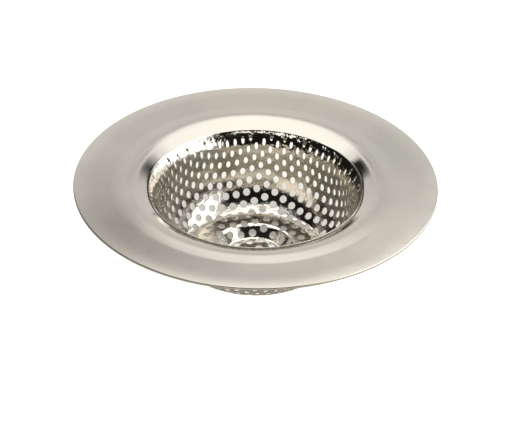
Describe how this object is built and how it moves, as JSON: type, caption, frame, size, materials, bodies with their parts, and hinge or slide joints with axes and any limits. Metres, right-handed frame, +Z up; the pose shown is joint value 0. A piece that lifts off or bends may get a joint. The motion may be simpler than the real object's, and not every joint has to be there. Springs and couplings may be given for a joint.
{
  "type": "sink basket strainer",
  "caption": "Drop-in kitchen sink strainer: a wide satin steel rim with a raised bead round its mouth, and a tapered perforated basket with a stepped floor hanging below.",
  "frame": {"origin": "centre of the underside of the basket's floor, on the basket's axis", "axes": "+Z up along the basket's axis, towards the open mouth and the rim; X and Y across the rim"},
  "size_m": [0.114, 0.114, 0.0277],
  "materials": {
    "satin_steel": "satin stainless steel, soft reflections, light handling marks",
    "bright_steel": "bright polished stainless steel, near mirror, punched holes"
  },
  "bodies": {
    "root": {"rim_flange": "satin_steel", "perforated_basket": "bright_steel"}
  },
  "joints": []
}
